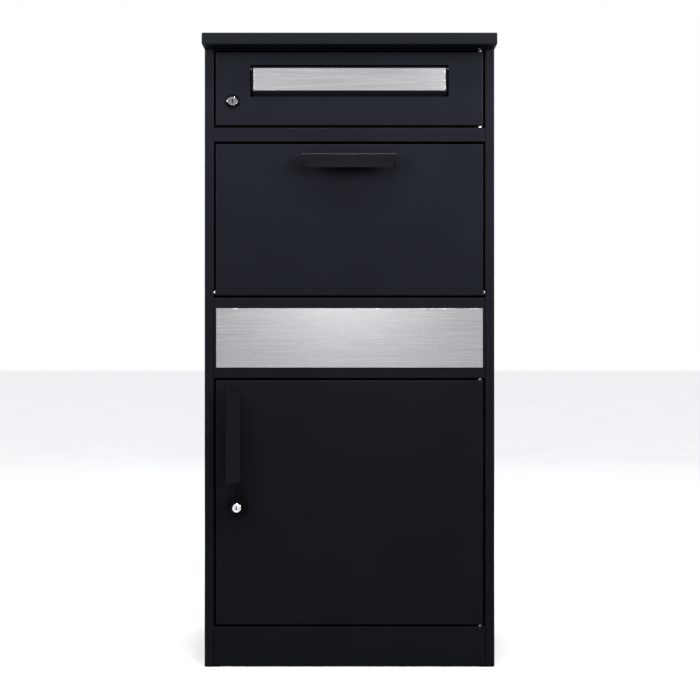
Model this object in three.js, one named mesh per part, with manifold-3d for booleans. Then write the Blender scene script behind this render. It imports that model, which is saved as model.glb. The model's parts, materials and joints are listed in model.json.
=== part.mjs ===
// A free-standing parcel locker of folded steel sheet. From the top it has a roof that overhangs
// the front, a locked mail door with a letter slot, a parcel hatch that tips out with its bucket,
// a fixed panel with the address plate, and a locked collection door over a plinth.
// Millimetres, +Z up. The front faces -Y, the ground is z = 0 and the origin is under the middle
// of the roof. Both doors hang on their right-hand edge, the hatch on its bottom edge.

import * as THREE from 'three';
import { ConvexGeometry } from 'three/addons/geometries/ConvexGeometry.js';
import { mergeVertices } from 'three/addons/utils/BufferGeometryUtils.js';
import Module from 'manifold-3d';

const wasm = await Module();
wasm.setup();

// ---------------------------------------------------------------- driving dimensions

const HEIGHT = 1000;
const DEPTH = 370;
const BODY_WIDTH = 460;
const SHEET = 1.2;
const GAP = 0.3; // between two pieces that touch

const ROOF_HEIGHT = 18.4;
const ROOF_OVERHANG = 32;
const FRONT = -DEPTH / 2 + ROOF_OVERHANG; // front plane of the body and of the closed doors
const BACK = DEPTH / 2;

const FLANGE = 14.5; // visible front edge of each side panel
const REAR_FLANGE_WIDTH = 18; // folded edge of a side panel behind the back panel
const FOOT_WIDTH = 25; // flange under each side panel
const STOP_DEPTH = 18; // from the front plane to the strip that the doors close against
const STOP_EDGE = 207.5; // half the clear width between the stop strips
const DOOR_GAP = 3.4; // between two panels of the front, one above the other
const SIDE_GAP = 3.1; // between a door and the side flange
const DOOR_DEPTH = 14; // of the folded edges of a door
const RAIL_DEPTH = 16; // of the folded edges of a fixed front panel
const HINGE_DEPTH = 5; // of every hinge axis behind the front plane
const HINGE_INSET = 4.9; // of every hinge axis from the edge of its door
const FOLD = 16; // of the edges turned up or down on the sheets inside the cabinet
const ROOF_HEM = { front: 6, side: 14, rear: 14 };
const ROOF_CHANNEL = { front: 7, flange: 10, inset: 14.4 }; // front is ahead of the front plane

// Rows of round holes: each of these depths or heights is drilled at both x and -x.
const WALL_HOLES = { x: 150, heights: [120, 900], radius: 4.5 };
const ANCHOR_HOLES = { x: 170, depths: [-90, 130], radius: 5.5 };
const ROOF_HOLES = { x: 221, depths: [-100, 140], radius: 2.3 };

// The front is a stack of panels over a foot gap, each given by its height.
const FOOT_GAP = 3;
const STACK = {
  plinth: 60.8,
  lowerDoor: 387.8,
  middlePanel: 127.8,
  parcelFlap: 240.8,
  upperRail: 22.6,
  mailDoor: 116.8,
};

const SLOT = { width: 315, height: 50.3, rise: 45.6 }; // letter slot, rise from the door's edge
const SLOT_FRAME = { flange: 9, clear: 0.8 }; // both outwards from the slot's edges
const LETTER_AXIS = { depth: 4.5, drop: 5.2 }; // letter flap hinge, drop from the slot's top
const NAME_PLATE = { width: 304, height: 35.4, thickness: 0.8 };
const ADDRESS_PLATE = { width: 423, height: 93.9, rise: 17.1, thickness: 1 };

const MAIL_LOCK = { x: -185.6, rise: 38.2, cam: 28.5 }; // cam is its reach from the lock's axis
const DOOR_LOCK = { x: -176.8, rise: 188.5, cam: 37 };
const MAIL_COLLAR = { radius: 11, height: 2.5, taper: 0.8, barrel: 9, bore: 6.4 };
const DOOR_COLLAR = { radius: 16, height: 8, taper: 1.5, barrel: 9.5, bore: 6.4 };
const MAIL_HEAD = { halfWidth: 9, halfHeight: 6.25, front: 4.3 }; // lens-shaped end of the plug
const KNOB = { boss: 10.5, front: 28, grip: 14, up: 26, down: 17.5, gripBack: 12 };
const KEY_PLUG = { radius: 6.7, depth: 12, front: 30 };
const KEY_SLOT = { width: 1.2, height: 5.6, offset: -0.7, depth: 4 };
const SHAFT_RADIUS = 6;
const CAM = { depth: STOP_DEPTH + SHEET + 0.8, width: 14, thickness: 2, corner: 3, hole: 2.6 };
const CAM_SCREW = { radius: 2.2, length: 8, head: 4, bore: 2.5 };

const HANDLE = { length: 152, bend: 149, free: 138, reach: 26, face: 22, base: 17 };
const FLAP_HANDLE_TOP = 812.1; // height of the upper face of the hatch handle
const DOOR_HANDLE = { x: -193.7, rise: 300 }; // left face and middle height of the door handle
const HANDLE_STUD = { span: 60, radius: 2.5, front: 3.5 }; // span is from the handle's middle
const HANDLE_STRIP = { thickness: 2, halfWidth: 4, beyond: 10 }; // beyond the studs, at each end

// The channel up the back of the lower door: half its widths, and its distance from the ends.
const DOOR_CHANNEL = { edge: 32, web: 18, inset: 24 };

// The bucket behind the hatch turns with it: a tilt plate that is level when the hatch is open.
const FLAP_OPEN = 60; // degrees
const TILT_PLATE = { start: 26, length: 275, lip: 8, width: 408 };
const CHEEK = { x: 204.3, radius: 228, rear: 24, reach: 170, clear: 4.2, tab: 8 };
const BAFFLE = { top: 704, bend: 674, bottom: 625, reach: 31 }; // heights, and how far it leans

const PIN = { radius: 1.9, head: 3.5, headHeight: 1.5, length: 11 };
const BUSH = { bore: PIN.radius + GAP, barrel: 2.9, flange: 4.2, thickness: 1, depth: 4.5 };
const BUSH_HOLE = BUSH.barrel + GAP;
const PIN_HOLE = PIN.radius + GAP;
const LETTER_ROD = { radius: 1.25, hole: 1.6, beyond: 4 }; // beyond the slot, at each end
const BUFFER = { radius: 3.5, heights: { mail: [962, 873], parcel: 800, lower: [425, 100] } };

const ROUND = 16; // segments of a turned piece
const GRID = 1024; // steps to the millimetre

// ---------------------------------------------------------------- finishes

const COAT = { color: 0x24262b, roughness: 0.5, metalness: 0.15 };
const STAINLESS = { color: 0xc6c8ca, roughness: 0.32, metalness: 1 };
const ZINC = { color: 0x9c9fa3, roughness: 0.4, metalness: 1 };
const CHROME = { color: 0xdcddde, roughness: 0.12, metalness: 1 };
const BLACK_METAL = { color: 0x121315, roughness: 0.35, metalness: 0.3 };
const NYLON = { color: 0x2b2c2e, roughness: 0.6, metalness: 0 };
const RUBBER = { color: 0x17181a, roughness: 0.85, metalness: 0 };

// ---------------------------------------------------------------- making shapes

// One named sub-part of the locker.
function piece(name, geometry, finish) {
  const mesh = new THREE.Mesh(geometry, new THREE.MeshStandardMaterial(finish));
  mesh.name = name;
  return mesh;
}

// Corners are snapped to a fine grid first, so that faces drawn on one plane meet exactly.
function toSolid(geometry) {
  const bare = geometry.index ? geometry.toNonIndexed() : geometry.clone();
  bare.deleteAttribute('normal');
  bare.deleteAttribute('uv');
  const snapped = bare.attributes.position.array.map((v) => Math.round(v * GRID) / GRID);
  bare.setAttribute('position', new THREE.BufferAttribute(snapped, 3));
  const closed = mergeVertices(bare, 1e-4);
  return new wasm.Manifold(
    new wasm.Mesh({
      numProp: 3,
      vertProperties: new Float32Array(closed.attributes.position.array),
      triVerts: new Uint32Array(closed.index.array),
    }),
  );
}

function toGeometry(solid) {
  const mesh = solid.getMesh();
  const geometry = new THREE.BufferGeometry();
  geometry.setAttribute('position', new THREE.BufferAttribute(mesh.vertProperties, 3));
  geometry.setIndex(new THREE.BufferAttribute(mesh.triVerts, 1));
  geometry.computeVertexNormals();
  return geometry;
}

function join(first, ...others) {
  return toGeometry(others.reduce((sum, other) => sum.add(toSolid(other)), toSolid(first)));
}

function cut(body, ...tools) {
  return toGeometry(tools.reduce((rest, tool) => rest.subtract(toSolid(tool)), toSolid(body)));
}

function keep(body, envelope) {
  return toGeometry(toSolid(body).intersect(toSolid(envelope)));
}

// A block between two limits along each axis.
function block([x0, x1], [y0, y1], [z0, z1]) {
  const geometry = new THREE.BoxGeometry(x1 - x0, y1 - y0, z1 - z0);
  return geometry.translate((x0 + x1) / 2, (y0 + y1) / 2, (z0 + z1) / 2);
}

// A block and its mirror image across x = 0.
function blockPair([x0, x1], y, z) {
  return [block([x0, x1], y, z), block([-x1, -x0], y, z)];
}

// A drill for a hole of this radius through the point (x, y, z), along the axis named.
function drill(axis, radius, [x, y, z], length = 10) {
  const geometry = new THREE.CylinderGeometry(radius, radius, length, ROUND);
  if (axis === 'x') geometry.rotateZ(Math.PI / 2);
  if (axis === 'z') geometry.rotateX(Math.PI / 2);
  return geometry.translate(x, y, z);
}

// Outline of a sheet folded along a path of [a, b] points that runs down its middle.
function foldOutline(path) {
  const middle = path.map(([a, b]) => new THREE.Vector2(a, b));
  const last = middle.length - 1;
  const heading = (i) => middle[i + 1].clone().sub(middle[i]).normalize();
  const offset = middle.map((_, i) => {
    const before = heading(Math.max(i - 1, 0));
    const after = heading(Math.min(i, last - 1));
    const mitre = before.clone().add(after).normalize();
    const across = new THREE.Vector2(-mitre.y, mitre.x);
    return across.multiplyScalar(SHEET / 2 / mitre.dot(before));
  });
  const near = middle.map((point, i) => point.clone().add(offset[i]));
  const far = middle.map((point, i) => point.clone().sub(offset[i]));
  return new THREE.Shape([...near, ...far.reverse()]);
}

function extrude(shape, depth, curveSegments = 8) {
  return new THREE.ExtrudeGeometry(shape, { depth, bevelEnabled: false, curveSegments });
}

// A shape drawn in (y, z) and extruded between two limits along X.
function alongX(shape, [x0, x1], curveSegments) {
  const axes = new THREE.Matrix4().makeBasis(
    new THREE.Vector3(0, 1, 0),
    new THREE.Vector3(0, 0, 1),
    new THREE.Vector3(1, 0, 0),
  );
  return extrude(shape, x1 - x0, curveSegments).applyMatrix4(axes).translate(x0, 0, 0);
}

// A shape drawn in (x, z) and extruded between two limits along Y.
function alongY(shape, [y0, y1], curveSegments) {
  return extrude(shape, y1 - y0, curveSegments).rotateX(Math.PI / 2).translate(0, y1, 0);
}

// A shape drawn in (x, y) and extruded between two limits along Z.
function alongZ(shape, [z0, z1]) {
  return extrude(shape, z1 - z0).translate(0, 0, z0);
}

// A piece turned about the Y axis, from [radius, y] points in order of rising y on the outside.
function turned(profile) {
  return new THREE.LatheGeometry(profile.map(([r, y]) => new THREE.Vector2(r, y)), ROUND);
}

// A turned ring: the outline of its wall, from the bore up the outside, closed on itself.
function turnedRing(profile) {
  return turned([...profile, profile[0]]);
}

// A front sheet with its edges folded back. Its frame has x from its middle, y from its face
// and z from its bottom edge. A rail has no edge folded at its ends.
function pan(width, height, depth, foldedEnds = true) {
  const half = width / 2;
  const inner = foldedEnds ? half - SHEET : half + 1;
  return cut(
    block([-half, half], [0, depth], [0, height]),
    block([-inner, inner], [SHEET, depth + 1], [SHEET, height - SHEET]),
  );
}

// Turns a piece that was made along +Y to point along an axis.
function pointAlong(mesh, direction) {
  mesh.quaternion.setFromUnitVectors(new THREE.Vector3(0, 1, 0), new THREE.Vector3(...direction));
  return mesh;
}

// ---------------------------------------------------------------- places worked out from above

const HALF = BODY_WIDTH / 2;
const INSIDE = HALF - SHEET; // inner face of a side wall
const FLANGE_EDGE = HALF - FLANGE;
const DOOR_WIDTH = 2 * (FLANGE_EDGE - SIDE_GAP);
const RAIL_WIDTH = 2 * (FLANGE_EDGE - GAP);
const BODY_TOP = HEIGHT - ROOF_HEIGHT - GAP;
const STOP_BACK = FRONT + STOP_DEPTH + SHEET;
const REAR_FLANGE = BACK - SHEET - GAP; // rear face of the side panels' rear flanges
const INNER_BACK = REAR_FLANGE - SHEET - GAP; // where the inner sheets end at the back
const INNER_FRONT = STOP_BACK + GAP; // where the inner sheets start behind the stop strips
const INNER_WIDE = INSIDE - GAP; // half the width of an inner sheet
const STRIP_CLEAR = STOP_EDGE - GAP; // half its width where it passes the stop strips

const ROWS = {};
let rowBottom = FOOT_GAP;
for (const [name, height] of Object.entries(STACK)) {
  ROWS[name] = { bottom: rowBottom, height, top: rowBottom + height };
  rowBottom += height + DOOR_GAP;
}
const HINGE_X = DOOR_WIDTH / 2 - HINGE_INSET;
const HINGE_Y = FRONT + HINGE_DEPTH;
const FLAP_AXIS_Z = ROWS.parcelFlap.bottom + HINGE_INSET;

// ---------------------------------------------------------------- hinges, screws and buffers

// A hinge pin, its head against the fixed sheet and its shank through into the door.
function hingePin(name, position, direction) {
  const shank = turned([
    [0, -PIN.headHeight],
    [PIN.head, -PIN.headHeight],
    [PIN.head, 0],
    [PIN.radius, 0],
    [PIN.radius, PIN.length],
    [0, PIN.length],
  ]);
  const mesh = pointAlong(piece(name, shank, STAINLESS), direction);
  mesh.position.set(...position);
  return mesh;
}

// A flanged bush in the folded edge of a door, its flange on the outside.
function hingeBush(name, position, direction) {
  const ring = turnedRing([
    [BUSH.bore, -BUSH.depth],
    [BUSH.barrel, -BUSH.depth],
    [BUSH.barrel, GAP],
    [BUSH.flange, GAP],
    [BUSH.flange, GAP + BUSH.thickness],
    [BUSH.bore, GAP + BUSH.thickness],
  ]);
  const mesh = pointAlong(piece(name, ring, NYLON), direction);
  mesh.position.set(...position);
  return mesh;
}

// A pan-head screw pointing along +Y from the face that its head rests on.
function screw({ radius, length, head }) {
  const headHeight = head * 0.45;
  return turned([
    [0, -headHeight],
    [head * 0.6, -headHeight],
    [head, 0],
    [radius, 0],
    [radius, length - radius],
    [0, length],
  ]);
}

// A rubber buffer on the front of a stop strip, where a door's folded edge meets it.
function buffer(name, side, z) {
  const { radius } = BUFFER;
  const front = DOOR_DEPTH + 2 * GAP;
  const pad = turned([
    [0, front],
    [radius - 1, front],
    [radius, front + 1],
    [radius, STOP_DEPTH - GAP],
    [0, STOP_DEPTH - GAP],
  ]);
  const mesh = piece(name, pad, RUBBER);
  mesh.position.set((side * (DOOR_WIDTH - SHEET)) / 2, FRONT, z);
  return mesh;
}

// ---------------------------------------------------------------- cabinet

// Drills for a row of holes along an axis, from the places (x, a) that the row is laid out by.
function drillRow(axis, { x, radius }, along, place) {
  return [-x, x].flatMap((side) => along.map((a) => drill(axis, radius, place(side, a))));
}

function roofDrills(z) {
  return drillRow('z', ROOF_HOLES, ROOF_HOLES.depths, (x, y) => [x, y, z]);
}

// A side panel in one sheet: stop strip, return, front flange, wall and rear flange, with a
// flange at its foot that stands on the ground.
function sidePanel(side) {
  const half = SHEET / 2;
  const plan = [
    [STOP_EDGE, FRONT + STOP_DEPTH + half],
    [FLANGE_EDGE + half, FRONT + STOP_DEPTH + half],
    [FLANGE_EDGE + half, FRONT + half],
    [HALF - half, FRONT + half],
    [HALF - half, REAR_FLANGE - half],
    [HALF - REAR_FLANGE_WIDTH, REAR_FLANGE - half],
  ];
  const wall = alongZ(foldOutline(plan.map(([x, y]) => [side * x, y])), [0, BODY_TOP]);
  const foot = [HALF - FOOT_WIDTH, HALF - half].map((x) => side * x).sort((a, b) => a - b);
  const whole = join(wall, block(foot, [FRONT + half, REAR_FLANGE - half], [0, SHEET]));
  return cut(whole, drill('x', PIN_HOLE, [side * FLANGE_EDGE, HINGE_Y, FLAP_AXIS_Z]));
}

function backPanel() {
  const half = HALF - GAP;
  return cut(
    block([-half, half], [BACK - SHEET, BACK], [FOOT_GAP / 2, BODY_TOP]),
    ...drillRow('y', WALL_HOLES, WALL_HOLES.heights, (x, z) => [x, BACK, z]),
  );
}

// A sheet inside the cabinet reaches from wall to wall behind the stop strips, and its front
// corners are cut back to clear the strips.
function cornerCuts(inner, y) {
  return blockPair([inner, INNER_WIDE + 1], y, [-1, HEIGHT]);
}

// The tray at the bottom of the cabinet, with upstands at its sides and back.
function basePanel() {
  const level = FOOT_GAP - GAP;
  const top = level + FOLD;
  const front = FRONT + SHEET + GAP;
  const trayHalf = INNER_WIDE - SHEET;
  return cut(
    block([-INNER_WIDE, INNER_WIDE], [front, INNER_BACK], [level - SHEET, top]),
    block([-trayHalf, trayHalf], [front - 1, INNER_BACK - SHEET], [level, top + 1]),
    ...cornerCuts(STRIP_CLEAR, [front - 1, INNER_FRONT]),
    ...drillRow('z', ANCHOR_HOLES, ANCHOR_HOLES.depths, (x, y) => [x, y, level]),
  );
}

// The top sheet closes the body under the roof. Its front edge shows above the mail door, and
// its sides are folded down along the walls.
function cabinetTop() {
  const bottom = BODY_TOP - FOLD;
  const stripFront = FRONT + STOP_DEPTH - GAP;
  const innerHalf = INNER_WIDE - SHEET;
  return cut(
    block([-INNER_WIDE, INNER_WIDE], [FRONT, INNER_BACK], [bottom, BODY_TOP]),
    block([-innerHalf, innerHalf], [FRONT - 1, INNER_BACK + 1], [bottom - 1, BODY_TOP - SHEET]),
    ...cornerCuts(RAIL_WIDTH / 2, [FRONT - 1, stripFront]),
    ...cornerCuts(STRIP_CLEAR, [stripFront, INNER_FRONT]),
    drill('z', PIN_HOLE, [HINGE_X, HINGE_Y, BODY_TOP]),
    ...roofDrills(BODY_TOP),
  );
}

// The strip behind the top edge of the mail door, folded from an angle.
function topStop() {
  const half = SHEET / 2;
  const top = BODY_TOP - SHEET - GAP - half;
  const depth = FRONT + STOP_DEPTH + half;
  const outline = foldOutline([[depth + 14, top], [depth, top], [depth, top - 13]]);
  return alongX(outline, [-STOP_EDGE + 1.5, STOP_EDGE - 1.5]);
}

// The roof is a lid with all four edges folded down and then inwards, open underneath.
function roofLid() {
  const half = HALF + GAP + SHEET;
  const inner = half - SHEET;
  const bottom = HEIGHT - ROOF_HEIGHT;
  const frontInner = -BACK + SHEET;
  const lid = cut(
    block([-half, half], [-BACK, BACK], [bottom, HEIGHT]),
    block([-inner, inner], [frontInner, -frontInner], [bottom + SHEET, HEIGHT - SHEET]),
    block(
      [-inner + ROOF_HEM.side, inner - ROOF_HEM.side],
      [frontInner + ROOF_HEM.front, -frontInner - ROOF_HEM.rear],
      [bottom - 1, bottom + SHEET + 1],
    ),
  );
  return cut(lid, ...roofDrills(bottom));
}

// A channel under the overhang that keeps the roof's front edge straight.
function roofStiffener() {
  const half = SHEET / 2;
  const top = HEIGHT - SHEET - GAP - half;
  const bottom = HEIGHT - ROOF_HEIGHT + half;
  const web = FRONT - ROOF_CHANNEL.front;
  const edge = web - ROOF_CHANNEL.flange;
  const end = HALF - ROOF_CHANNEL.inset;
  return alongX(foldOutline([[edge, top], [web, top], [web, bottom], [edge, bottom]]), [-end, end]);
}

// A fixed front panel between the side flanges, placed at its own row of the stack.
function fixedPanel(name, row, geometry) {
  const mesh = piece(name, geometry, COAT);
  mesh.position.set(0, FRONT, row.bottom);
  return mesh;
}

function rail(row, pinEdges) {
  const heights = { top: row.height, bottom: 0 };
  const blank = pan(RAIL_WIDTH, row.height, RAIL_DEPTH, false);
  const holes = pinEdges.map((edge) => drill('z', PIN_HOLE, [HINGE_X, HINGE_DEPTH, heights[edge]]));
  return cut(blank, ...holes);
}

function addressPlate() {
  const { width, height, rise, thickness } = ADDRESS_PLATE;
  const bottom = ROWS.middlePanel.bottom + rise;
  const front = FRONT - GAP - thickness;
  return block([-width / 2, width / 2], [front, FRONT - GAP], [bottom, bottom + height]);
}

// The floor of the mail compartment, with its sides folded down and a low lip at its front.
function mailFloor() {
  const level = ROWS.upperRail.top;
  const bottom = level - 13;
  const lip = { half: STOP_EDGE - 1.5, top: level + 8, back: INNER_FRONT + SHEET };
  const innerHalf = INNER_WIDE - SHEET;
  const above = [level, lip.top + 1];
  return cut(
    block([-INNER_WIDE, INNER_WIDE], [INNER_FRONT, INNER_BACK], [bottom, lip.top]),
    block([-INNER_WIDE - 1, INNER_WIDE + 1], [lip.back, INNER_BACK + 1], above),
    block([-innerHalf, innerHalf], [INNER_FRONT - 1, INNER_BACK + 1], [bottom - 1, level - SHEET]),
    ...blockPair([lip.half, INNER_WIDE + 1], [INNER_FRONT - 1, lip.back + 1], above),
  );
}

// A sheet that leans forward from the back panel and closes the gap that the open bucket leaves.
function bafflePlate() {
  const back = INNER_BACK - GAP - SHEET / 2;
  const { top, bend, bottom, reach } = BAFFLE;
  const outline = foldOutline([[back, top], [back, bend], [back - reach, bottom]]);
  return alongX(outline, [-INNER_WIDE, INNER_WIDE]);
}

function cabinet() {
  const group = new THREE.Group();
  const pinInFlange = FLANGE_EDGE + SHEET + GAP;
  const doorPin = (name, z, up) => hingePin(name, [HINGE_X, HINGE_Y, z], [0, 0, up]);
  const { mail, parcel, lower } = BUFFER.heights;
  group.add(
    piece('side_panel_left', sidePanel(-1), COAT),
    piece('side_panel_right', sidePanel(1), COAT),
    piece('back_panel', backPanel(), COAT),
    piece('base_panel', basePanel(), COAT),
    piece('cabinet_top', cabinetTop(), COAT),
    piece('top_door_stop', topStop(), COAT),
    piece('roof_lid', roofLid(), COAT),
    piece('roof_stiffener', roofStiffener(), COAT),
    fixedPanel('plinth_panel', ROWS.plinth, rail(ROWS.plinth, ['top'])),
    fixedPanel('middle_panel', ROWS.middlePanel, rail(ROWS.middlePanel, ['bottom'])),
    fixedPanel('upper_rail', ROWS.upperRail, rail(ROWS.upperRail, ['top'])),
    piece('address_plate', addressPlate(), STAINLESS),
    piece('mail_floor', mailFloor(), COAT),
    piece('baffle_plate', bafflePlate(), COAT),
    doorPin('mail_door_pin_top', BODY_TOP + GAP, -1),
    doorPin('mail_door_pin_bottom', ROWS.upperRail.top - SHEET - GAP, 1),
    doorPin('lower_door_pin_top', ROWS.middlePanel.bottom + SHEET + GAP, -1),
    doorPin('lower_door_pin_bottom', ROWS.plinth.top - SHEET - GAP, 1),
    hingePin('parcel_flap_pin_left', [-pinInFlange, HINGE_Y, FLAP_AXIS_Z], [1, 0, 0]),
    hingePin('parcel_flap_pin_right', [pinInFlange, HINGE_Y, FLAP_AXIS_Z], [-1, 0, 0]),
    buffer('mail_door_buffer_top', -1, mail[0]),
    buffer('mail_door_buffer_bottom', -1, mail[1]),
    buffer('parcel_flap_buffer_left', -1, parcel),
    buffer('parcel_flap_buffer_right', 1, parcel),
    buffer('lower_door_buffer_top', -1, lower[0]),
    buffer('lower_door_buffer_bottom', -1, lower[1]),
  );
  return group;
}

// ---------------------------------------------------------------- locks

// The fixed body of a lock through a door's skin: a collar in front and a barrel behind. Its
// frame, like that of every lock piece, has its origin on the lock's axis at the door's face.
function lockBody(collar) {
  const { radius, height, taper, barrel, bore } = collar;
  return turnedRing([
    [bore, -height],
    [radius - taper, -height],
    [radius, -height + taper],
    [radius, -GAP],
    [barrel, -GAP],
    [barrel, STOP_DEPTH - 1],
    [bore, STOP_DEPTH - 1],
  ]);
}

function lockNut(barrel) {
  const thickness = 4;
  const bore = barrel + GAP;
  const middle = SHEET + GAP + thickness / 2;
  const hexagon = new THREE.CylinderGeometry(bore + 4, bore + 4, thickness, 6);
  return cut(hexagon.translate(0, middle, 0), drill('y', bore, [0, middle, 0]));
}

// The cam hangs down when the lock is open and turns behind the stop strip to bolt the door.
function lockCam(reach) {
  const { depth, width, thickness, corner, hole } = CAM;
  const half = width / 2;
  const shape = new THREE.Shape();
  shape.absarc(0, 0, half, 0, Math.PI, false);
  shape.lineTo(-half, -reach + corner);
  shape.lineTo(-half + corner, -reach);
  shape.lineTo(half - corner, -reach);
  shape.lineTo(half, -reach + corner);
  return cut(alongY(shape, [depth, depth + thickness]), drill('y', hole, [0, depth, 0]));
}

// The cam's screw comes in from behind.
function camScrew() {
  const fastener = screw(CAM_SCREW).rotateX(Math.PI);
  return fastener.translate(0, CAM.depth + CAM.thickness + GAP, 0);
}

// The shaft that runs back through the lock body, with a blind hole for the cam's screw.
function lockShaft(front) {
  const end = CAM.depth - GAP;
  return turned([
    [0, front],
    [SHAFT_RADIUS, front],
    [SHAFT_RADIUS, end],
    [CAM_SCREW.bore, end],
    [CAM_SCREW.bore, end - CAM_SCREW.length],
    [0, end - CAM_SCREW.length],
  ]);
}

// The plug of the mail lock: a shaft with a lens-shaped head in front of the collar.
function mailPlug() {
  const { halfWidth, halfHeight, front } = MAIL_HEAD;
  const lens = new THREE.Shape();
  lens.moveTo(-halfWidth, 0);
  lens.quadraticCurveTo(0, -2 * halfHeight, halfWidth, 0);
  lens.quadraticCurveTo(0, 2 * halfHeight, -halfWidth, 0);
  const head = alongY(lens, [-front, -MAIL_COLLAR.height - GAP], 10);
  return cut(join(head, lockShaft(-front + 0.5)), keySlot(0, -front));
}

// The tool that cuts a key slot into a plug's face.
function keySlot(x, face) {
  const half = KEY_SLOT.width / 2;
  const reach = KEY_SLOT.height / 2;
  return block([x - half, x + half], [face - 1, face + KEY_SLOT.depth], [-reach, reach]);
}

// The wing knob of the door lock: a round boss, bored for the key plug, with a grip across it
// that reaches further up than down.
function wingKnob() {
  const back = -DOOR_COLLAR.height - GAP;
  const half = KNOB.grip / 2;
  const wing = new THREE.Shape();
  wing.absarc(0, KNOB.up - half, half, 0, Math.PI, false);
  wing.absarc(0, half - KNOB.down, half, Math.PI, 2 * Math.PI, false);
  const boss = turned([
    [0, -KNOB.front],
    [KNOB.boss - 2, -KNOB.front],
    [KNOB.boss, -KNOB.front + 2],
    [KNOB.boss, back],
    [0, back],
  ]);
  const bored = cut(
    join(boss, alongY(wing, [-KNOB.front, -KNOB.gripBack], 6)),
    drill('y', KEY_PLUG.radius + GAP, [0, -KNOB.front, 0], 2 * KEY_PLUG.depth),
  );
  return join(bored, lockShaft(back - 1));
}

function keyPlug() {
  const { radius, depth, front } = KEY_PLUG;
  const plug = turned([
    [0, -front],
    [radius - 0.8, -front],
    [radius, -front + 0.8],
    [radius, -KNOB.front + depth - GAP],
    [0, -KNOB.front + depth - GAP],
  ]);
  return cut(plug, keySlot(KEY_SLOT.offset, -front));
}

// ---------------------------------------------------------------- handle

// A grip folded from one sheet into a C, along X: base on the door, web on top, face in front.
// Its ends lean inwards towards the free edge of the face.
function handleGrip() {
  const half = SHEET / 2;
  const base = -GAP - half;
  const face = -HANDLE.reach + half;
  const section = foldOutline([
    [base, -HANDLE.base],
    [base, -half],
    [face, -half],
    [face, -HANDLE.face],
  ]);
  const channel = alongX(section, [-HANDLE.length / 2, HANDLE.length / 2]);
  const corners = [-1, 1].flatMap((side) => [
    [side * HANDLE.length / 2, 0, 1],
    [side * HANDLE.length / 2, 0, -HANDLE.face - 1],
    [side * HANDLE.bend / 2, -HANDLE.reach - 1, 1],
    [side * HANDLE.free / 2, -HANDLE.reach - 1, -HANDLE.face - 1],
  ]);
  const envelope = new ConvexGeometry(corners.map((corner) => new THREE.Vector3(...corner)));
  return cut(keep(channel, envelope), ...handleHoles(base));
}

function handleStudPlaces() {
  return [-1, 1].map((side) => [side * HANDLE_STUD.span, -HANDLE.base / 2]);
}

// Holes for the studs, for a handle whose frame is at (x, z) in the frame of the sheet at y.
function handleHoles(y, toSheet = ([x, z]) => [x, z]) {
  return handleStudPlaces().map(toSheet).map(([x, z]) => {
    return drill('y', HANDLE_STUD.radius + GAP, [x, y, z], 6);
  });
}

// A strip inside the door that carries the two studs which hold the handle.
function handleStrip() {
  const { thickness, halfWidth, beyond } = HANDLE_STRIP;
  const start = SHEET + GAP;
  const halfLength = HANDLE_STUD.span + beyond;
  const middle = -HANDLE.base / 2;
  const strip = block(
    [-halfLength, halfLength],
    [start, start + thickness],
    [middle - halfWidth, middle + halfWidth],
  );
  const end = start + thickness / 2;
  const length = end + HANDLE_STUD.front;
  const studs = handleStudPlaces().map(([x, z]) => {
    return drill('y', HANDLE_STUD.radius, [x, end - length / 2, z], length);
  });
  return join(strip, ...studs);
}

// A handle with the strip that holds it, in its own frame at the door's face.
function handle(name) {
  const group = new THREE.Group();
  group.add(
    piece(name, handleGrip(), COAT),
    piece(`${name}_strip`, handleStrip(), ZINC),
  );
  return group;
}

// ---------------------------------------------------------------- mail door

function slotTop() {
  return SLOT.rise + SLOT.height;
}

function slotOpening(grow, y) {
  const half = SLOT.width / 2 + grow;
  return block([-half, half], y, [SLOT.rise - grow, slotTop() + grow]);
}

function mailDoorPanel() {
  const { height } = ROWS.mailDoor;
  return cut(
    pan(DOOR_WIDTH, height, DOOR_DEPTH),
    slotOpening(0, [-1, SHEET + 1]),
    drill('y', MAIL_COLLAR.barrel + GAP, [MAIL_LOCK.x, 0, MAIL_LOCK.rise]),
    drill('z', BUSH_HOLE, [HINGE_X, HINGE_DEPTH, 0], 5),
    drill('z', BUSH_HOLE, [HINGE_X, HINGE_DEPTH, height], 5),
  );
}

// A drill for the letter flap's rod, right across the slot.
function rodDrill(y, z) {
  return drill('x', LETTER_ROD.hole, [0, y, z], SLOT.width + 20);
}

// A short tube behind the slot, with a flange on the back of the door; it holds the flap's rod.
function slotFrame() {
  const { flange, clear } = SLOT_FRAME;
  const start = SHEET + GAP;
  const frame = cut(
    join(
      slotOpening(flange, [start, start + SHEET]),
      slotOpening(clear + SHEET, [start, RAIL_DEPTH]),
    ),
    slotOpening(clear, [0, RAIL_DEPTH + 1]),
  );
  return cut(frame, rodDrill(LETTER_AXIS.depth, slotTop() - LETTER_AXIS.drop));
}

function letterRod() {
  const half = SLOT.width / 2 + LETTER_ROD.beyond;
  const circle = new THREE.Shape().absarc(0, 0, LETTER_ROD.radius, 0, 2 * Math.PI);
  return alongX(circle, [-half, half], 5);
}

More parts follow.
